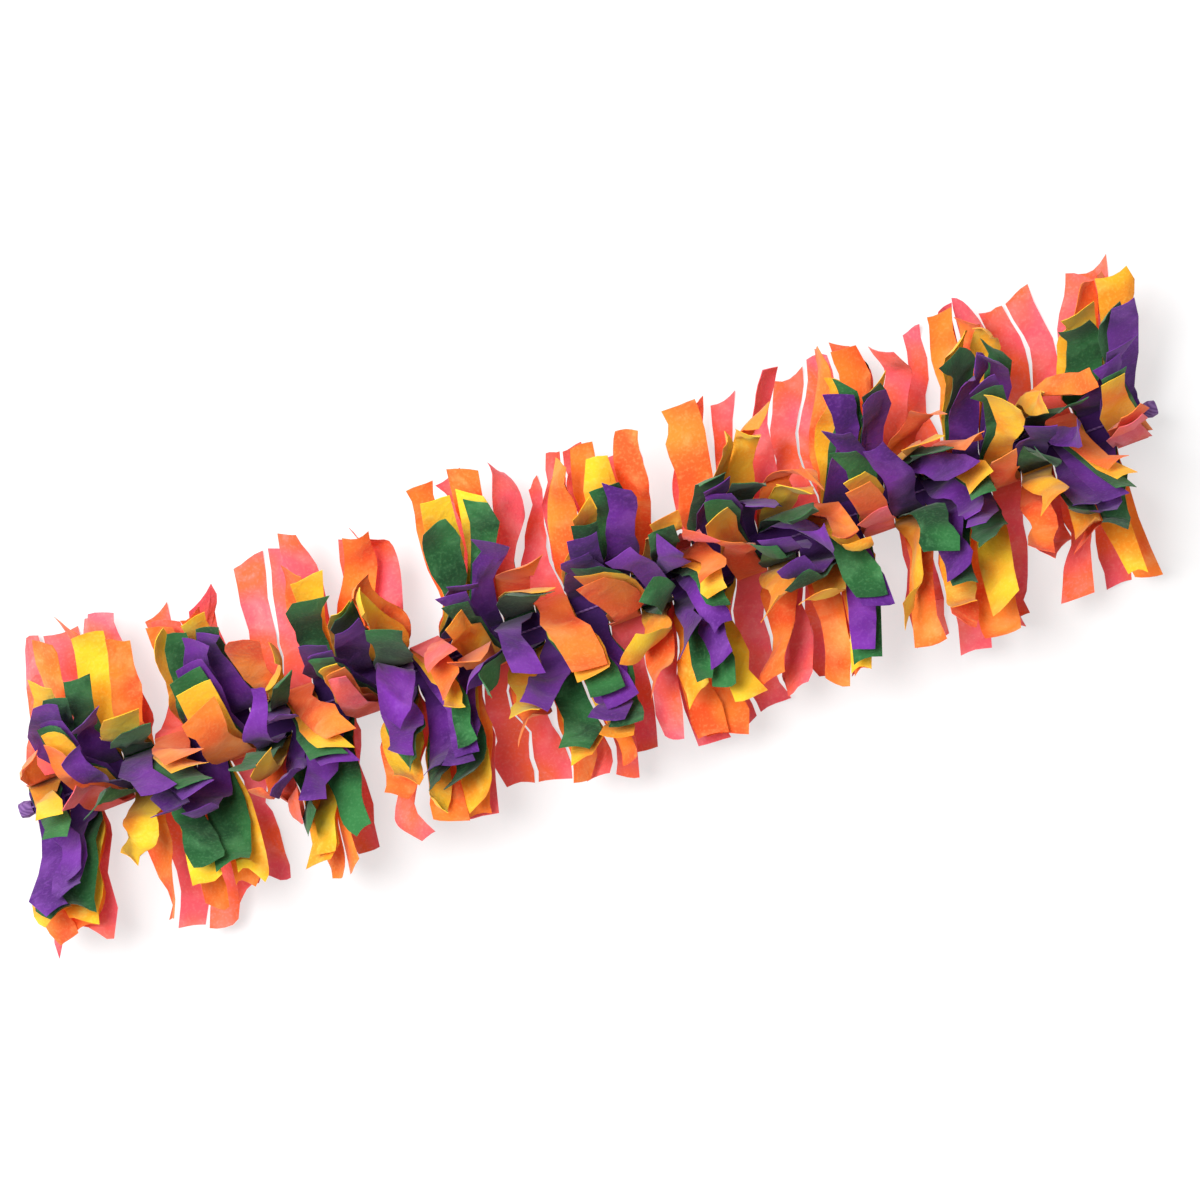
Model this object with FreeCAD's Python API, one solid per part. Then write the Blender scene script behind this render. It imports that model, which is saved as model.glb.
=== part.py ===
"""Tissue festoon garland: five long strips of tissue paper, each a different colour, lie on each other
and are sewn together down the middle. Both edges are slit into tabs, which are fluffed up out of the flat,
so that the piece lies on a table as a full, shaggy band. Lengths are in millimetres and angles in degrees.

Frame: +X runs along the garland, +Y across it and +Z up. The origin is on the table under its middle.
"""

import FreeCAD, Part
import math
import os
import random

# Driving dimensions of the flat strips
STRIP_WIDTH = 127.0
SPINE_WIDTH = 10.0
TAB_WIDTH = 12.7
TABS_PER_EDGE = 35
PAPER = 0.2
PLY_PITCH = 0.5
SLIT_GAP = 0.8
SLIT_TAPER = 0.008
HEM = 0.8
CREASE_STEP = 1.0

# How the garland lies
SEAM_HEIGHT = 16.0
ROCK_ANGLE = 8.0
ROCK_LENGTH = 210.0
LIMP_LENGTH = 28.0

# Sewing thread
THREAD_DIAMETER = 0.8
THREAD_SIDES = 8
THREAD_GAP = 0.45
KNOT_DIAMETER = 6.6
KNOT_END = 5.4
KNOT_LENGTH = 5.0
KNOT_GAP = 0.3

# How the tabs are fluffed
CLEARANCE = 0.28
STACK_TRIES = 3
TAB_TRIES = 5
SINGLE_TRIES = 2
SHAKES = (1.0, 0.5, 0.5, 0.5, 0.5, 0.5)
FURTHEST_REACH = 8
SWAY = 8.0
WIDE_FAN = 80.0
FAN_BEND = 0.4
FACET_TURN = 45.0
MOST_FACETS = 3

PLIES = ("pink", "orange", "yellow", "green", "purple")
SIDES = (1, -1)

TAB_LENGTH = (STRIP_WIDTH - SPINE_WIDTH) / 2
GARLAND_LENGTH = TAB_WIDTH * TABS_PER_EDGE
TOP_PLY = len(PLIES) - 1


# Plain vector sums on tuples

def add(a, b):
    return (a[0] + b[0], a[1] + b[1], a[2] + b[2])


def sub(a, b):
    return (a[0] - b[0], a[1] - b[1], a[2] - b[2])


def times(a, k):
    return (a[0] * k, a[1] * k, a[2] * k)


def dot(a, b):
    return a[0] * b[0] + a[1] * b[1] + a[2] * b[2]


def cross(a, b):
    return (
        a[1] * b[2] - a[2] * b[1],
        a[2] * b[0] - a[0] * b[2],
        a[0] * b[1] - a[1] * b[0],
    )


def unit(a):
    return times(a, 1 / math.sqrt(dot(a, a)))


# Spine: the uncut band down the middle of each strip, which rocks gently from side to side

def rock(station):
    x = (station - TABS_PER_EDGE / 2) * TAB_WIDTH
    return math.radians(ROCK_ANGLE) * math.sin(2 * math.pi * x / ROCK_LENGTH)


def spine_up(station):
    turn = rock(station)
    return (0.0, -math.sin(turn), math.cos(turn))


def spine_point(station, reach, ply):
    """A point of a strip's spine, that far across from the seam."""
    turn = rock(station)
    seam = ((station - TABS_PER_EDGE / 2) * TAB_WIDTH, 0.0, SEAM_HEIGHT)
    across = (0.0, math.cos(turn), math.sin(turn))
    lift = times(spine_up(station), (ply - TOP_PLY / 2) * PLY_PITCH)
    return add(add(seam, times(across, reach)), lift)


# Tabs: each is creased across near its root, on a line that may be oblique, and curls from there on

def root_corner(station, side, ply):
    """Where a slit ends."""
    return spine_point(station, side * SPINE_WIDTH / 2, ply)


def hem(ply):
    """How far beyond the slit's end a ply is creased: a little nearer to it than the ply below."""
    return HEM + (TOP_PLY - ply) * CREASE_STEP


def half_slit(away):
    """Half the opening of a slit, that far from its end."""
    return SLIT_GAP / 2 + SLIT_TAPER * away


def hinge_start(slot, side, ply):
    """Where the crease of a tab starts. It runs along X from there, whatever way the spine is tilted."""
    middle = times(add(root_corner(slot, side, ply), root_corner(slot + 1, side, ply)), 0.5)
    turn = rock(slot + 0.5)
    out = (-TAB_WIDTH / 2, side * math.cos(turn) * hem(ply), side * math.sin(turn) * hem(ply))
    return add(middle, out)


def turned(vector, axis, angle):
    """A vector turned about a unit axis, by an angle in degrees."""
    c, s = math.cos(math.radians(angle)), math.sin(math.radians(angle))
    swept = add(times(vector, c), times(cross(axis, vector), s))
    return add(swept, times(axis, dot(axis, vector) * (1 - c)))


def free_tab_rungs(slot, side, ply, fold, knee, lean, kink, curl, twist, sway):
    """Pairs of points across a tab, from root to tip.

    It folds up at its hem by so much from level, runs flat to the knee and is kinked there on a
    slanting crease. From the knee on it curls and twists.
    """
    hinge = hinge_start(slot, side, ply)
    length = TAB_LENGTH - hem(ply)
    drift = math.tan(math.radians(sway))
    ahead = (0.0, side * math.cos(math.radians(fold)), math.sin(math.radians(fold)))
    rise = TAB_WIDTH * math.tan(math.radians(lean))
    knees = (knee + max(0.0, -rise), knee + max(0.0, rise))

    def flat(u, s):
        """The point that lies u along and s beyond the hem, as if there were no knee."""
        inset = half_slit(s + hem(ply))
        u += inset if u < TAB_WIDTH / 2 else -inset
        return add(add(hinge, (u + drift * (s + hem(ply)), 0.0, 0.0)), times(ahead, s))

    rungs = [
        (root_corner(slot, side, ply), root_corner(slot + 1, side, ply)),
        (flat(0.0, 0.0), flat(TAB_WIDTH, 0.0)),
        (flat(0.0, knees[0]), flat(TAB_WIDTH, knees[1])),
    ]
    crease = unit(sub(rungs[-1][1], rungs[-1][0]))
    middle = times(add(*rungs[-1]), 0.5)
    way = turned(unit(add(ahead, (drift, 0.0, 0.0))), crease, side * kink)
    spread = turned(sub(rungs[-1][0], middle), crease, side * kink)
    remaining = length - sum(knees) / 2
    facets = min(MOST_FACETS, 1 + round((abs(curl) + abs(twist) / 2) / FACET_TURN))
    for i in range(1, facets + 1):
        way = turned(way, crease, side * curl / facets / (2 if i == 1 else 1))
        middle = add(middle, times(way, remaining / facets))
        spread = unit(sub(spread, times(way, dot(spread, way))))
        spread = turned(spread, way, twist / facets)
        crease = times(spread, -1)
        reached = TAB_LENGTH - remaining * (1 - i / facets)
        half = times(spread, (TAB_WIDTH / 2 - half_slit(reached)) * math.cos(math.radians(sway)))
        rungs.append((add(middle, half), sub(middle, half)))
    return rungs


def resting_tab_rungs(slot, side, ply):
    """A tab that hangs down to the table and lies on it with the rest of its length."""
    hinge = hinge_start(slot, side, ply)
    lying = TAB_LENGTH - hem(ply) - LIMP_LENGTH
    reach = math.sqrt(LIMP_LENGTH ** 2 - (hinge[2] - PAPER / 2) ** 2)
    stops = (
        (0.0, 0.0, hinge[2]),
        (LIMP_LENGTH, reach, PAPER / 2),
        (LIMP_LENGTH + lying, reach + lying, PAPER / 2),
    )
    rungs = [(root_corner(slot, side, ply), root_corner(slot + 1, side, ply))]
    for length, away, height in stops:
        inset = half_slit(length + hem(ply))
        x = hinge[0] + side * math.tan(math.radians(SWAY)) * (length + hem(ply))
        y = hinge[1] + side * away
        rungs.append(((x + inset, y, height), (x + TAB_WIDTH - inset, y, height)))
    return rungs


# Crossing test: two tabs may not come nearer to each other than the clearance

def triangles_of(rungs):
    """Corner, two edges and normal of every triangle of a sheet, and how far its plane lies out."""
    found = []
    for (a, b), (c, d) in zip(rungs, rungs[1:]):
        for corners in ((a, b, d), (a, d, c)):
            one, two = sub(corners[1], corners[0]), sub(corners[2], corners[0])
            normal = cross(one, two)
            if dot(normal, normal) > 1e-9:
                normal = unit(normal)
                found.append((corners[0], one, two, normal, dot(corners[0], normal)))
    return found


def segments_of(rungs):
    found = []
    for (a, b), (c, d) in zip(rungs, rungs[1:]):
        found += [(c, d), (a, c), (b, d), (a, d)]
    return [(p, q) for p, q in found if p != q]


def inside(point, triangle):
    """Whether a point, seen square to the triangle, falls within it."""
    corner, one, two, normal, _ = triangle
    way = sub(point, corner)
    u = dot(cross(way, two), normal)
    v = dot(cross(one, way), normal)
    return u >= 0.0 and v >= 0.0 and u + v <= dot(cross(one, two), normal)


def pierces(start, end, triangle):
    """Whether a segment passes through the layer, twice the clearance thick, round a triangle."""
    _, _, _, normal, level = triangle
    near, far = dot(start, normal) - level, dot(end, normal) - level
    if min(near, far) > CLEARANCE or max(near, far) < -CLEARANCE:
        return False
    shares = [0.0, 0.5, 1.0] if abs(near - far) < 2 * CLEARANCE else []
    if near != far:
        shares += [(near - bound) / (near - far) for bound in (-CLEARANCE, CLEARANCE)]
    way = sub(end, start)
    for share in shares:
        if 0.0 <= share <= 1.0 and inside(add(start, times(way, share)), triangle):
            return True
    return False


class Sheet:
    """A tab or a stretch of spine, as the crossing test sees it."""

    def __init__(self, rungs):
        self.triangles = triangles_of(rungs)
        self.segments = segments_of(rungs)
        self.points = [p for pair in rungs for p in pair]
        self.low = tuple(min(p[i] for p in self.points) - CLEARANCE for i in range(3))
        self.high = tuple(max(p[i] for p in self.points) + CLEARANCE for i in range(3))

    def boxes_meet(self, other):
        return (
            self.low[0] <= other.high[0] and other.low[0] <= self.high[0]
            and self.low[1] <= other.high[1] and other.low[1] <= self.high[1]
            and self.low[2] <= other.high[2] and other.low[2] <= self.high[2]
        )

    def cuts(self, other):
        for triangle in other.triangles:
            _, _, _, (nx, ny, nz), level = triangle
            heights = [x * nx + y * ny + z * nz - level for x, y, z in self.points]
            if min(heights) > CLEARANCE or max(heights) < -CLEARANCE:
                continue
            if any(pierces(start, end, triangle) for start, end in self.segments):
                return True
        return False

    def meets(self, other):
        return self.boxes_meet(other) and (self.cuts(other) or other.cuts(self))


def sleeve(start, end, width, rise):
    """A sheet round a length of thread or a knot, which tabs keep out of."""
    outline = ((width, 0.0), (0.0, rise), (-width, 0.0), (0.0, -rise), (width, 0.0))
    return Sheet([((start, y, SEAM_HEIGHT + z), (end, y, SEAM_HEIGHT + z)) for y, z in outline])


# Fluffing: all stacks start as plain fans, then stacks and single tabs are shaken into free places.
# How each stack tends to lie: l low, o open, s steep, u upright, t thrown over the seam, v thrown over
# the seam with its lowest tab left on the table

FAR_EDGE = "vllutllsvllotlluvllotllsvllutllovll"
NEAR_EDGE = "lltollvulltsllvolltullvolltsllvullt"
WAYS = {
    "l": ((-10.0, 12.0), (46.0, 66.0)),
    "o": ((-12.0, 15.0), (82.0, 98.0)),
    "s": ((0.0, 25.0), (84.0, 102.0)),
    "u": ((15.0, 45.0), (88.0, 108.0)),
    "t": ((90.0, 104.0), (110.0, 130.0)),
    "v": ((90.0, 104.0), (110.0, 130.0)),
}
PLAIN_FANS = {"l": (2.0, 58.0), "t": (98.0, 120.0), "v": (98.0, 120.0)}


def way_of(slot, side):
    return (FAR_EDGE if side > 0 else NEAR_EDGE)[slot]


def plain_fan(slot, side):
    """Folds of a stack before it is shaken."""
    return PLAIN_FANS.get(way_of(slot, side), (6.0, 84.0))


def shaken_fan(dice, slot, side, wild):
    """How a shaken stack tends to lie: fold of its lowest and highest tab, lean, kink and curl."""
    lowest, highest = WAYS[way_of(slot, side)]
    return (
        dice.uniform(*lowest),
        dice.uniform(*highest),
        dice.triangular(-45.0, 45.0, 0.0) * wild,
        dice.triangular(-40.0, 60.0, 0.0) * wild,
        dice.triangular(-60.0, 90.0, 10.0) * wild,
    )


def shaken_tab(dice, side, ply, wild, low, high, lean, kink, curl):
    """Fold, knee, lean, kink, curl, twist and sway of one tab. In a wide fan each goes its own way."""
    share = (ply / TOP_PLY) ** FAN_BEND
    free = wild * min(1.0, (high - low) / WIDE_FAN)
    return (
        low + (high - low) * share + dice.uniform(-12.0, 12.0) * wild,
        dice.uniform(3.0, 6.0 + 16.0 * free),
        max(-50.0, min(50.0, lean + dice.uniform(-50.0, 50.0) * free)),
        kink * share + dice.triangular(-80.0, 130.0, 0.0) * free,
        curl * share + dice.triangular(-60.0, 80.0, 0.0) * free,
        dice.triangular(-110.0, 110.0, 0.0) * free,
        side * SWAY + dice.uniform(-14.0, 14.0) * free * share,
    )


def stir_of(shape):
    """How far from plain a tab lies."""
    _, _, lean, kink, curl, twist, _ = shape
    return abs(lean * kink) / 40.0 + abs(kink) + abs(curl) / 2 + abs(twist)


def within_bounds(rungs):
    points = [p for pair in rungs[1:] for p in pair]
    most = GARLAND_LENGTH / 2 + TAB_LENGTH * math.tan(math.radians(SWAY))
    return all(p[2] > PAPER + CLEARANCE and abs(p[0]) <= most for p in points)


def rests(slot, side):
    """Whether the lowest tab here lies on the table: every third one does, from opposite ends."""
    return way_of(slot, side) == "v" or (slot if side < 0 else TABS_PER_EDGE - 1 - slot) % 3 == 0


class Heap:
    """All tabs where they lie, and the spine under them."""

    def __init__(self):
        self.rungs = {}
        self.stirs = {}
        self.sheets = [{} for _ in range(TABS_PER_EDGE)]
        for slot in range(TABS_PER_EDGE):
            for side in SIDES:
                self.sheets[slot]["spine", side] = Sheet([
                    (spine_point(slot, 0.0, TOP_PLY), spine_point(slot + 1, 0.0, TOP_PLY)),
                    (root_corner(slot, side, TOP_PLY), root_corner(slot + 1, side, TOP_PLY)),
                ])
            start = spine_point(slot, 0.0, TOP_PLY)[0]
            rise = thread_height(True) - SEAM_HEIGHT + THREAD_DIAMETER
            self.sheets[slot]["thread"] = sleeve(start, start + TAB_WIDTH, 1.5 * THREAD_DIAMETER, rise)
        for slot, end in ((0, -1), (TABS_PER_EDGE - 1, 1)):
            near, far = (end * (GARLAND_LENGTH / 2 + away) for away in (0.0, KNOT_GAP + KNOT_LENGTH))
            self.sheets[slot]["knot"] = sleeve(near, far, KNOT_DIAMETER * 0.75, KNOT_DIAMETER * 0.75)

    def put(self, tabs):
        for (slot, side, ply), (rungs, sheet, stir) in tabs.items():
            self.rungs[slot, side, ply] = rungs
            self.stirs[slot, side, ply] = stir
            self.sheets[slot][side, ply] = sheet

    def take(self, slot, side, plies):
        """The tabs of one stack, taken out of the heap."""
        return {
            (slot, side, ply): (
                self.rungs.pop((slot, side, ply)),
                self.sheets[slot].pop((side, ply)),
                self.stirs.pop((slot, side, ply)),
            )
            for ply in plies
        }

    def has_room(self, slot, sheet):
        first = max(0, slot - FURTHEST_REACH)
        for others in self.sheets[first:slot + FURTHEST_REACH + 1]:
            if any(sheet.meets(other) for other in others.values()):
                return False
        return True


def place_tab(heap, dice, slot, side, ply, wild, fan, beside, least):
    """A tab shaken at least so far that meets neither the heap nor the tabs beside it, or nothing."""
    for _ in range(TAB_TRIES):
        shape = shaken_tab(dice, side, ply, wild, *fan)
        if stir_of(shape) < least:
            continue
        rungs = free_tab_rungs(slot, side, ply, *shape)
        sheet = Sheet(rungs[1:])
        clear = within_bounds(rungs) and not any(sheet.meets(other) for _, other, _ in beside)
        if clear and heap.has_room(slot, sheet):
            return rungs, sheet, stir_of(shape)
    return None


def shake(heap, dice, slot, side, plies, wild, tries):
    """Put some tabs of a stack into a new free place, or back where they lay.

    A single tab is only moved to where it lies wilder than before.
    """
    old = heap.take(slot, side, plies)
    least = old[slot, side, plies[0]][2] if len(plies) == 1 else 0.0
    for _ in range(tries):
        fan = shaken_fan(dice, slot, side, wild)
        new = {}
        for ply in plies:
            tab = place_tab(heap, dice, slot, side, ply, wild, fan, new.values(), least)
            if tab is None:
                break
            new[slot, side, ply] = tab
        else:
            heap.put(new)
            return True
    heap.put(old)
    return False


def fluffed():
    """The rungs of every tab, by slot, side and ply."""
    heap = Heap()
    stacks = {}
    for slot in range(TABS_PER_EDGE):
        for side in SIDES:
            low, high = plain_fan(slot, side)
            for ply in range(len(PLIES)):
                fold = low + (high - low) * (ply / TOP_PLY) ** FAN_BEND
                if ply == 0 and rests(slot, side):
                    rungs = resting_tab_rungs(slot, side, ply)
                else:
                    rungs = free_tab_rungs(slot, side, ply, fold, 8.0, 0.0, 0.0, 0.0, 0.0, side * SWAY)
                    stacks.setdefault((slot, side), []).append(ply)
                heap.put({(slot, side, ply): (rungs, Sheet(rungs[1:]), 0.0)})
    dice = random.Random("shaken garland")
    order = list(stacks.items())
    for wild in SHAKES:
        dice.shuffle(order)
        for (slot, side), plies in order:
            shake(heap, dice, slot, side, plies, wild, STACK_TRIES)
        for (slot, side), plies in order:
            for ply in plies:
                shake(heap, dice, slot, side, [ply], 1.0, SINGLE_TRIES)
    return heap.rungs


# Solids: a folded sheet gets its thickness along the mitre of the facets that meet at each crease

def facet_normal(near, far, side):
    """Upward normal of the facet between two rungs."""
    (a, b), (c, d) = near, far
    return unit(times(add(cross(sub(b, a), sub(d, a)), cross(sub(d, a), sub(c, a))), side))


def mitre(one, other):
    return times(add(one, other), 1 / (1 + dot(one, other)))


def skin_of(rungs, side, root_lifts, half):
    """The rungs moved to the upper or lower face of the paper."""
    normals = [facet_normal(near, far, side) for near, far in zip(rungs, rungs[1:])]
    lifts = [root_lifts]
    lifts += [(mitre(a, b),) * 2 for a, b in zip(normals, normals[1:])]
    lifts.append((normals[-1],) * 2)
    return [
        tuple(add(point, times(lift, half)) for point, lift in zip(pair, pair_lifts))
        for pair, pair_lifts in zip(rungs, lifts)
    ]


def flat_faces(*corners):
    """One face if the corners are in one plane, or else two triangles."""
    a, b, c, d = corners
    normal = unit(cross(sub(b, a), sub(c, a)))
    if abs(dot(sub(d, a), normal)) < 1e-7:
        outlines = [(a, b, c, d)]
    else:
        outlines = [(a, b, c), (a, c, d)]
    return [
        Part.Face(Part.makePolygon([FreeCAD.Vector(*p) for p in outline + outline[:1]]))
        for outline in outlines
    ]


def tab_faces(rungs, slot, side):
    """All faces of a tab but the one at its root, where it goes on into the spine."""
    lifts = (spine_up(slot), spine_up(slot + 1))
    upper = skin_of(rungs, side, lifts, PAPER / 2)
    lower = skin_of(rungs, side, lifts, -PAPER / 2)
    faces = []
    for skin in (upper, lower):
        for (a, b), (c, d) in zip(skin, skin[1:]):
            faces += flat_faces(a, b, d, c)
    for j in range(2):
        for i in range(len(rungs) - 1):
            faces += flat_faces(upper[i][j], upper[i + 1][j], lower[i + 1][j], lower[i][j])
    (a, b), (c, d) = upper[-1], lower[-1]
    return faces + flat_faces(a, b, d, c)


def spine_faces(ply):
    """The upper and lower faces of the uncut band, and its two ends."""
    def corners(station, half):
        lift = times(spine_up(station), half)
        return [add(root_corner(station, side, ply), lift) for side in SIDES]

    faces = []
    for half in (PAPER / 2, -PAPER / 2):
        for station in range(TABS_PER_EDGE):
            (a, b), (c, d) = corners(station, half), corners(station + 1, half)
            faces += flat_faces(a, b, d, c)
    for station in (0, TABS_PER_EDGE):
        (a, b), (c, d) = corners(station, PAPER / 2), corners(station, -PAPER / 2)
        faces += flat_faces(a, b, d, c)
    return faces


def strip(ply, tabs):
    """One strip of tissue with all its tabs, as one solid."""
    faces = spine_faces(ply)
    for (slot, side, tab_ply), rungs in tabs.items():
        if tab_ply == ply:
            faces += tab_faces(rungs, slot, side)
    solid = Part.makeSolid(Part.makeShell(faces))
    if solid.Volume < 0:
        solid.reverse()
    return solid


# Sewing thread: one run over the strips and one under them, knotted together past both ends

def thread_height(over):
    """Middle of a run of thread, as far from the seam as the tilted stack and the clearance ask."""
    stack = (TOP_PLY * PLY_PITCH + PAPER) / 2 / math.cos(math.radians(ROCK_ANGLE))
    away = stack + THREAD_GAP + THREAD_DIAMETER / 2
    return SEAM_HEIGHT + (away if over else -away)


def outline(x, height, diameter):
    """The outline of a thread or knot, square to the seam."""
    middle = FreeCAD.Vector(x, 0, height)
    points = []
    for i in range(THREAD_SIDES + 1):
        turn = 2 * math.pi * (i % THREAD_SIDES) / THREAD_SIDES
        points.append(middle + FreeCAD.Vector(0, math.cos(turn), math.sin(turn)) * (diameter / 2))
    return Part.makePolygon(points)


def thread_run(over):
    away = GARLAND_LENGTH / 2 + KNOT_GAP
    ends = [outline(x, thread_height(over), THREAD_DIAMETER) for x in (-away, away)]
    return Part.makeLoft(ends, True, True)


def knot(end):
    """An overhand knot, drawn tight into a barrel that both runs of thread end at."""
    stations = ((0.0, KNOT_END), (KNOT_LENGTH / 2, KNOT_DIAMETER), (KNOT_LENGTH, KNOT_END))
    rings = [
        outline(end * (GARLAND_LENGTH / 2 + KNOT_GAP + away), SEAM_HEIGHT, diameter)
        for away, diameter in stations
    ]
    return Part.makeLoft(rings, True, True)


def build():
    tabs = fluffed()
    made = {name + "_tissue_strip": strip(ply, tabs) for ply, name in enumerate(PLIES)}
    made["needle_thread"] = thread_run(True).fuse([knot(-1), knot(1)])
    made["bobbin_thread"] = thread_run(False)
    return made


if __name__ == "__main__":
    os.makedirs("parts", exist_ok=True)
    for name, shape in build().items():
        solid = shape.Solids[0]
        print(name, "valid", shape.isValid(), "solids", len(shape.Solids), "faces", len(shape.Faces),
              "volume %.1f" % solid.Volume, "box", shape.BoundBox)
        shape.exportStep("parts/" + name + ".step")
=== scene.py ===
"""Tissue festoon garland: five sewn strips of coloured tissue with fluffed tabs, dressed and lit.

Lengths are in metres and angles in degrees. +X runs along the seam, +Y across it and +Z up from the table.
"""

import logging
import math
from dataclasses import dataclass
from enum import Enum
from typing import Any, Optional, Union

import bpy
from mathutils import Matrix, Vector, noise

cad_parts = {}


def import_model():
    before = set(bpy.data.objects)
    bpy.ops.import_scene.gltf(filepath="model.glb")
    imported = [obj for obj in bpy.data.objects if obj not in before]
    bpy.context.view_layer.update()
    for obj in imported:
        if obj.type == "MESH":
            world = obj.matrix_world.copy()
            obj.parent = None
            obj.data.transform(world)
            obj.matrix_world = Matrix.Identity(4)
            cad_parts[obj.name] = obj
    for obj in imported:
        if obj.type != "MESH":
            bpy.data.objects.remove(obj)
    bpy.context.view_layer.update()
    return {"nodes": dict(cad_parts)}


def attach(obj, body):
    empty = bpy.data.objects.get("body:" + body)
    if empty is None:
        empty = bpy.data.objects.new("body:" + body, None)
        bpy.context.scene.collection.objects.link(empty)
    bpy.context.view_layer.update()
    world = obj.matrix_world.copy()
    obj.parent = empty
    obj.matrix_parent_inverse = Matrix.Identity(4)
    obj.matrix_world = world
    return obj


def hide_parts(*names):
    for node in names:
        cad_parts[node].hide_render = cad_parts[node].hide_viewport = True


log = logging.getLogger("festoon")

Colour = tuple[float, float, float]
Operand = Union["Signal", float]

SEAM_HEIGHT = 0.016


class Ply(Enum):
    """The strips of tissue, from the lowest to the uppermost."""

    PINK = "pink"
    ORANGE = "orange"
    YELLOW = "yellow"
    GREEN = "green"
    PURPLE = "purple"


class Ray(Enum):
    """The rays that find the floor white, by their output on a Light Path node."""

    CAMERA = 0
    GLOSSY = 3
    TRANSMISSION = 6


class Signal:
    """The output of a node, with the arithmetic that a formula needs."""

    def __init__(self, tree: bpy.types.NodeTree, output: bpy.types.NodeSocket) -> None:
        """Keep the output and the tree it is in.

        Args:
            tree: The material's node tree.
            output: The node output that carries the value.
        """
        self.tree = tree
        self.output = output

    def _math(self, operation: str, first: Operand, second: Operand) -> "Signal":
        """Add one Math node.

        Args:
            operation: What the node works out.
            first: Its first value or signal.
            second: Its second value or signal.

        Returns:
            The result as a signal.
        """
        node = self.tree.nodes.new("ShaderNodeMath")
        node.operation = operation
        for socket, value in zip(node.inputs, (first, second)):
            if isinstance(value, Signal):
                self.tree.links.new(value.output, socket)
            else:
                socket.default_value = value
        return Signal(self.tree, node.outputs[0])

    def __add__(self, other: Operand) -> "Signal":
        """This plus another."""
        return self._math("ADD", self, other)

    def __radd__(self, other: float) -> "Signal":
        """A number plus this."""
        return self._math("ADD", other, self)

    def __sub__(self, other: Operand) -> "Signal":
        """This less another."""
        return self._math("SUBTRACT", self, other)

    def __rsub__(self, other: float) -> "Signal":
        """A number less this."""
        return self._math("SUBTRACT", other, self)

    def __mul__(self, other: Operand) -> "Signal":
        """This times another."""
        return self._math("MULTIPLY", self, other)

    def __rmul__(self, other: float) -> "Signal":
        """A number times this."""
        return self._math("MULTIPLY", other, self)

    def __pow__(self, other: Operand) -> "Signal":
        """This to the power of another."""
        return self._math("POWER", self, other)


class Shader:
    """A material's nodes, built from formulas."""

    def __init__(self, name: str) -> None:
        """Start a material with one Principled shader.

        Args:
            name: The material's name.
        """
        self.material = bpy.data.materials.new(name)
        self.material.use_nodes = True
        self.tree = self.material.node_tree
        self.surface = next(n for n in self.tree.nodes if n.type == "BSDF_PRINCIPLED")

    def node(
        self, kind: str, settings: Optional[dict[str, Any]] = None, output: int = 0, **values: Any
    ) -> Signal:
        """Add any node.

        Args:
            kind: The node's type.
            settings: Its own settings, which are made first.
            output: Which of its outputs is wanted.
            **values: Values or signals of its inputs, with spaces in their names written as underscores.

        Returns:
            The wanted output as a signal.
        """
        made = self.tree.nodes.new(kind)
        for key, value in (settings or {}).items():
            setattr(made, key, value)
        for key, value in values.items():
            self.feed(made.inputs[key.replace("_", " ")], value)
        return Signal(self.tree, made.outputs[output])

    def feed(self, socket: bpy.types.NodeSocket, value: Any) -> None:
        """Link a signal to a socket, or set the socket to a value.

        Args:
            socket: The input.
            value: A signal, or a plain value.
        """
        if isinstance(value, Signal):
            self.tree.links.new(value.output, socket)
        else:
            socket.default_value = value

    def place(self) -> Signal:
        """Object coordinates, in metres."""
        return self.node("ShaderNodeTexCoord", output=3)

    def noise(self, place: Signal, size: float, detail: float, distortion: float = 0.0) -> Signal:
        """Soft noise.

        Args:
            place: Where it is read.
            size: How large its blots are, in metres.
            detail: How many finer layers it has.
            distortion: How far its blots are stirred.

        Returns:
            A value around a half.
        """
        return self.node(
            "ShaderNodeTexNoise", Vector=place, Scale=1 / size, Detail=detail, Distortion=distortion
        )

    def between(self, value: Signal, low: float, high: float) -> Signal:
        """Stretch a range of a value to 0 to 1.

        Args:
            value: The value.
            low: What becomes 0.
            high: What becomes 1.

        Returns:
            The stretched value, cut off at both ends.
        """
        return self.node("ShaderNodeMapRange", Value=value, **{"From_Min": low, "From_Max": high})

    def blend(self, share: Signal, first: Any, second: Any) -> Signal:
        """Mix two colours.

        Args:
            share: How much of the second.
            first: The first colour.
            second: The second colour.

        Returns:
            The mixed colour.
        """
        made = self.tree.nodes.new("ShaderNodeMix")
        made.data_type = "RGBA"
        self.feed(made.inputs[0], share)
        for socket, colour in ((made.inputs[6], first), (made.inputs[7], second)):
            self.feed(socket, colour if isinstance(colour, Signal) else (*colour, 1.0))
        return Signal(self.tree, made.outputs[2])

    def relief(self, height: Signal, strength: float, depth: float) -> None:
        """Give the surface a relief.

        Args:
            height: The relief, from 0 to 1.
            strength: How strongly it shows.
            depth: How deep it is, in metres.
        """
        bump = self.node("ShaderNodeBump", Height=height, Strength=strength, Distance=depth)
        self.feed(self.surface.inputs["Normal"], bump)

    def lay_over(self, share: Signal, other: Signal) -> None:
        """Mix another shader over the surface.

        Args:
            share: How much of the other shader.
            other: The other shader.
        """
        mixed = self.tree.nodes.new("ShaderNodeMixShader")
        self.feed(mixed.inputs[0], share)
        self.tree.links.new(self.surface.outputs[0], mixed.inputs[1])
        self.feed(mixed.inputs[2], other)
        output = next(n for n in self.tree.nodes if n.type == "OUTPUT_MATERIAL")
        self.tree.links.new(mixed.outputs[0], output.inputs["Surface"])


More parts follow.
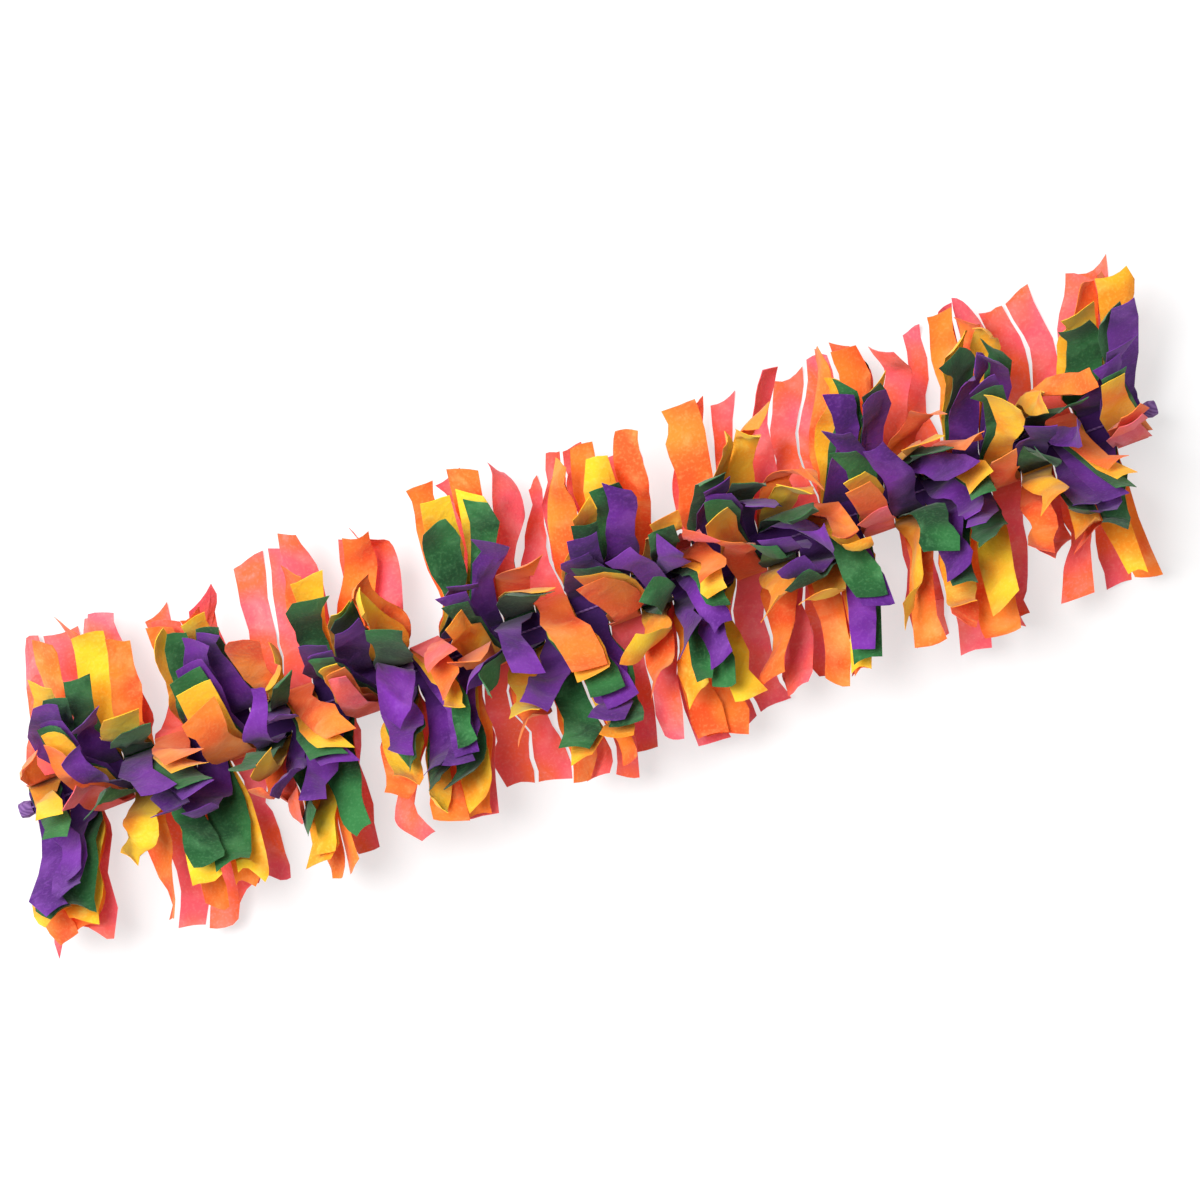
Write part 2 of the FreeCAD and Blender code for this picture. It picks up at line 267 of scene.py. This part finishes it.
@dataclass(frozen=True)
class TissueFinish:
    """Thin dyed tissue: matt and uneven in colour, paler along its creases with a painted highlight, and
    darkened round the seam with painted shade where the plies lie close.
    """

    name: str
    colour: Colour
    deep: Colour
    # Pale tone for the painted highlight along the creases and for the fibres.
    pale: Colour
    # Colour of the painted shade round the seam.
    painted_seam_shade: Colour
    roughness: float = 0.82
    sheen: float = 0.12
    gloss: float = 0.2
    cloud_size: float = 0.024
    cloud_range: tuple[float, float] = (0.38, 0.6)
    crease_size: float = 0.011
    crease_stir: float = 0.6
    crease_range: tuple[float, float] = (0.5, 0.8)
    # How strong the painted highlight along the creases is.
    crease_highlight: float = 0.5
    fibre_size: float = 0.0011
    fibre_range: tuple[float, float] = (0.5, 0.75)
    fibre_wear: float = 0.22
    fibre_relief: float = 0.15
    relief_strength: float = 0.5
    relief_depth: float = 0.0016
    # Where the painted shade round the seam fades out and where it is full, how far the creases stir its
    # edge, and how much of it shows.
    seam_shade_range: tuple[float, float] = (0.038, 0.014)
    seam_shade_stray: float = 0.02
    seam_shade_share: float = 0.8

    def material(self) -> bpy.types.Material:
        """Build the material.

        Returns:
            The material.
        """
        shader = Shader(self.name)
        place = shader.place()
        clouds = shader.between(shader.noise(place, self.cloud_size, detail=1.0), *self.cloud_range)
        creases = shader.noise(place, self.crease_size, detail=3.0, distortion=self.crease_stir)
        fibres = shader.noise(place, self.fibre_size, detail=1.0)
        # Painted highlight: the tissue turns pale along its creases, with the fibres' paler grain mixed
        # in.
        crease_highlight_and_grain = shader.between(creases, *self.crease_range) * self.crease_highlight
        crease_highlight_and_grain = crease_highlight_and_grain + shader.between(fibres, *self.fibre_range) * self.fibre_wear
        tissue = shader.blend(crease_highlight_and_grain, shader.blend(clouds, self.deep, self.colour), self.pale)
        # Painted shade: the tissue is darkened towards the seam, where the plies lie close.
        across = shader.node("ShaderNodeSeparateXYZ", output=1, Vector=place)
        above = shader.node("ShaderNodeSeparateXYZ", output=2, Vector=place) - SEAM_HEIGHT
        from_seam = (across * across + above * above) ** 0.5
        painted_seam_shade = shader.between(from_seam + creases * self.seam_shade_stray, *self.seam_shade_range)
        surface = shader.surface.inputs
        shader.feed(surface["Base Color"], shader.blend(painted_seam_shade * self.seam_shade_share, tissue, self.painted_seam_shade))
        shader.relief(creases + fibres * self.fibre_relief, self.relief_strength, self.relief_depth)
        surface["Roughness"].default_value = self.roughness
        surface["Sheen Weight"].default_value = self.sheen
        surface["Specular IOR Level"].default_value = self.gloss
        return shader.material


@dataclass(frozen=True)
class ThreadFinish:
    """Cotton sewing thread, twisted and matt."""

    name: str = "sewing_thread"
    colour: Colour = (0.12, 0.045, 0.2)
    pale: Colour = (0.24, 0.12, 0.34)
    lay: float = 0.0011
    bands_per_scale: float = 3.0
    relief_strength: float = 0.5
    relief_depth: float = 0.0002
    roughness: float = 0.8

    def material(self) -> bpy.types.Material:
        """Build the material.

        Returns:
            The material.
        """
        shader = Shader(self.name)
        place = shader.place()
        twist = shader.node(
            "ShaderNodeTexWave",
            {"wave_type": "BANDS", "bands_direction": "DIAGONAL"},
            output=1,
            Vector=place,
            Scale=1 / self.lay / self.bands_per_scale,
        )
        shader.feed(shader.surface.inputs["Base Color"], shader.blend(twist, self.colour, self.pale))
        shader.relief(twist, self.relief_strength, self.relief_depth)
        shader.surface.inputs["Roughness"].default_value = self.roughness
        return shader.material


# Each ply's colours: its own colour, a deeper tone, a pale tone for the painted crease highlight and the
# fibres, and the painted shade round the seam.
TISSUE = {
    Ply.PINK: TissueFinish(
        "pink_tissue", (0.9, 0.12, 0.16), (0.92, 0.14, 0.05), (0.97, 0.36, 0.35), (0.6, 0.06, 0.04)
    ),
    Ply.ORANGE: TissueFinish(
        "orange_tissue", (0.96, 0.25, 0.03), (0.9, 0.1, 0.02), (0.99, 0.46, 0.16), (0.6, 0.08, 0.01)
    ),
    Ply.YELLOW: TissueFinish(
        "yellow_tissue", (0.98, 0.6, 0.025), (0.96, 0.3, 0.015), (0.99, 0.78, 0.15), (0.6, 0.2, 0.01)
    ),
    Ply.GREEN: TissueFinish(
        "green_tissue", (0.03, 0.17, 0.045), (0.01, 0.07, 0.02), (0.12, 0.36, 0.14), (0.004, 0.025, 0.009)
    ),
    Ply.PURPLE: TissueFinish(
        "purple_tissue", (0.17, 0.025, 0.33), (0.08, 0.012, 0.17), (0.3, 0.09, 0.5), (0.02, 0.005, 0.05)
    ),
}


def deselect() -> None:
    """Leave nothing selected and nothing in edit mode."""
    if bpy.context.object is not None and bpy.context.object.mode != "OBJECT":
        bpy.ops.object.mode_set(mode="OBJECT")
    bpy.ops.object.select_all(action="DESELECT")


def activate(piece: bpy.types.Object) -> None:
    """Select one piece and nothing else.

    Args:
        piece: The piece.
    """
    deselect()
    piece.select_set(True)
    bpy.context.view_layer.objects.active = piece


def eased(value: float, low: float, high: float) -> float:
    """Rise smoothly from 0 to 1.

    Args:
        value: The value.
        low: Where the rise starts.
        high: Where it ends.

    Returns:
        A share from 0 to 1.
    """
    share = min(1.0, max(0.0, (value - low) / (high - low)))
    return share * share * (3 - 2 * share)


@dataclass
class Fluff:
    """How limp paper strays from its plain folds.

    All strips are stirred by the same smooth field, so that they keep their order.
    """

    billow_size: float = 0.05
    billow: float = 0.0095
    wrinkle_size: float = 0.016
    wrinkle: float = 0.0046
    wrinkle_start: tuple[float, float, float] = (7.0, 3.0, 5.0)
    upward_share: float = 0.7
    tip_size: float = 0.021
    tip: float = 0.24
    tip_zone: tuple[float, float] = (0.02, 0.06)
    tip_start: tuple[float, float] = (4.0, 2.0)
    lift_size: float = 0.019
    lift: float = 0.014
    lift_reach: float = 0.03
    lift_zone: tuple[float, float] = (0.03, 0.05)
    lift_start: float = 9.0
    seam_zone: tuple[float, float] = (0.006, 0.022)
    table_zone: tuple[float, float] = (0.0008, 0.014)
    seed: int = 5

    def stirred(self, point: Vector) -> Vector:
        """Where a point of the plain folds comes to lie.

        Args:
            point: The point.

        Returns:
            Its new place.
        """
        free = eased(math.hypot(point.y, point.z - SEAM_HEIGHT), *self.seam_zone)
        stray = noise.noise_vector(point / self.billow_size) * self.billow
        stray += noise.noise_vector(point / self.wrinkle_size + Vector(self.wrinkle_start)) * self.wrinkle
        stray.z *= self.upward_share * eased(point.z, *self.table_zone)
        side = math.copysign(self.tip_start[0], point.y)
        short = noise.noise(Vector((point.x / self.tip_size, side, self.tip_start[1])))
        stray.y -= self.tip * max(0.0, short) * point.y * eased(abs(point.y), *self.tip_zone)
        up = noise.noise(Vector((point.x / self.lift_size, point.y / self.lift_size, self.lift_start)))
        under = max(0.0, 1 - point.z / self.lift_reach)
        stray.z += self.lift * max(0.0, up) * under * eased(abs(point.y), *self.lift_zone)
        return point + stray * free

    def apply(self, piece: bpy.types.Object) -> None:
        """Stir a strip.

        Args:
            piece: The strip.
        """
        noise.seed_set(self.seed)
        for vertex in piece.data.vertices:
            vertex.co = self.stirred(vertex.co)
        piece.data.update()


@dataclass
class TissueStrip:
    """One strip of tissue with its tabs, softened from the plain folds of its solid."""

    ply: Ply
    fluff: Fluff
    merge: float = 0.00002
    flatness: float = 12.0
    squareness: float = 100.0
    fold: float = 60.0
    softness: int = 1
    smooth_below: float = 50.0

    def build(self, node: bpy.types.Object) -> bpy.types.Object:
        """Make the strip.

        Args:
            node: The strip's plain solid.

        Returns:
            The strip.
        """
        piece = bpy.data.objects.new(self.ply.value + "_tissue", node.data.copy())
        bpy.context.scene.collection.objects.link(piece)
        activate(piece)
        self._merge_facets()
        for way in ("SIMPLE", "CATMULL_CLARK"):
            soften = piece.modifiers.new("soften", "SUBSURF")
            soften.subdivision_type = way
            soften.levels = self.softness
            soften.render_levels = self.softness
            bpy.ops.object.modifier_apply(modifier=soften.name)
        self.fluff.apply(piece)
        bpy.ops.object.shade_smooth_by_angle(angle=math.radians(self.smooth_below))
        piece.data.materials.clear()
        piece.data.materials.append(TISSUE[self.ply].material())
        return piece

    def _merge_facets(self) -> None:
        """Join the loose facets of the active piece, and hold its cut edges and hems sharp."""
        bpy.ops.object.mode_set(mode="EDIT")
        bpy.ops.mesh.select_mode(type="EDGE")
        bpy.ops.mesh.select_all(action="SELECT")
        bpy.ops.mesh.customdata_custom_splitnormals_clear()
        bpy.ops.mesh.remove_doubles(threshold=self.merge)
        bpy.ops.mesh.tris_convert_to_quads(
            face_threshold=math.radians(self.flatness), shape_threshold=math.radians(self.squareness)
        )
        bpy.ops.mesh.normals_make_consistent(inside=False)
        bpy.ops.mesh.select_all(action="DESELECT")
        bpy.ops.mesh.edges_select_sharp(sharpness=math.radians(self.fold))
        bpy.ops.transform.edge_crease(value=1.0)
        bpy.ops.object.mode_set(mode="OBJECT")

    def declare(self, piece: bpy.types.Object) -> None:
        """Tell the frame what the strip is.

        Args:
            piece: The strip.
        """
        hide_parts(self.ply.value + "_tissue_strip")
        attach(piece, "root")


@dataclass
class Garland:
    """The whole garland: the strips on each other and the thread that holds them."""

    fluff: Fluff

    def build(self, nodes: dict[str, bpy.types.Object]) -> None:
        """Dress all nodes.

        Args:
            nodes: The plain solids, by name.
        """
        for ply in Ply:
            strip = TissueStrip(ply, self.fluff)
            piece = strip.build(nodes[ply.value + "_tissue_strip"])
            strip.declare(piece)
            log.info("%s: %d faces", piece.name, len(piece.data.polygons))
        thread = ThreadFinish().material()
        for name in ("needle_thread", "bobbin_thread"):
            nodes[name].data.materials.clear()
            nodes[name].data.materials.append(thread)
            log.info("%s dressed", name)


@dataclass
class Studio:
    """Floor, light and camera."""

    floor_size: float = 6.0
    floor_colour: Colour = (0.93, 0.93, 0.93)
    floor_white: float = 0.6
    floor_roughness: float = 0.9
    lamp_place: tuple[float, float, float] = (-0.5, 0.45, 1.5)
    lamp_size: float = 0.8
    lamp_power: float = 35.5
    room_light: float = 0.46
    camera_height: float = 1.6
    camera_roll: float = -19.6
    camera_shift: tuple[float, float] = (0.0054, 0.0018)
    picture_width: float = 0.453
    sensor_width: float = 36.0
    seen_from: float = 0.05
    seen_to: float = 20.0

    def build_floor(self) -> None:
        """Lay a plain floor that looks white to the camera."""
        deselect()
        bpy.ops.mesh.primitive_plane_add(size=self.floor_size)
        floor = bpy.context.object
        floor.name = "floor"
        shader = Shader("floor")
        surface = shader.surface.inputs
        surface["Base Color"].default_value = (*self.floor_colour, 1.0)
        surface["Roughness"].default_value = self.floor_roughness
        surface["Specular IOR Level"].default_value = 0.0
        camera, glossy, transmission = (
            shader.node("ShaderNodeLightPath", output=ray.value) for ray in Ray
        )
        white = shader.node("ShaderNodeEmission", Strength=1.0)
        shader.lay_over((camera + glossy + transmission) * self.floor_white, white)
        floor.data.materials.append(shader.material)

    def build_light(self) -> None:
        """Hang one broad soft lamp over the floor, and make the room pale."""
        deselect()
        bpy.ops.object.light_add(type="AREA", location=self.lamp_place)
        lamp = bpy.context.object
        lamp.name = "soft_lamp"
        lamp.data.size = self.lamp_size
        lamp.data.energy = self.lamp_power
        lamp.rotation_euler = (-lamp.location).to_track_quat("-Z", "Y").to_euler()
        world = bpy.data.worlds.new("pale_room")
        world.use_nodes = True
        background = world.node_tree.nodes["Background"]
        background.inputs["Color"].default_value = (1.0, 1.0, 1.0, 1.0)
        background.inputs["Strength"].default_value = self.room_light
        bpy.context.scene.world = world

    def build_camera(self) -> None:
        """Look straight down, with the seam rising to the right across the picture."""
        deselect()
        bpy.ops.object.camera_add(
            location=(*self.camera_shift, self.camera_height),
            rotation=(0.0, 0.0, math.radians(self.camera_roll)),
        )
        camera = bpy.context.object
        camera.data.sensor_width = self.sensor_width
        distance = self.camera_height - SEAM_HEIGHT
        camera.data.lens = self.sensor_width * distance / self.picture_width
        camera.data.clip_start = self.seen_from
        camera.data.clip_end = self.seen_to
        bpy.context.scene.camera = camera

    def build(self) -> None:
        """Set up the whole studio."""
        self.build_floor()
        self.build_light()
        self.build_camera()
        bpy.context.scene.view_settings.view_transform = "Standard"
        log.info("studio ready")


def main() -> None:
    """Dress the garland and set up the studio."""
    logging.basicConfig(level=logging.INFO, format="%(name)s: %(message)s")
    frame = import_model()
    Studio().build()
    Garland(Fluff()).build(frame["nodes"])


if __name__ == "__main__":
    main()
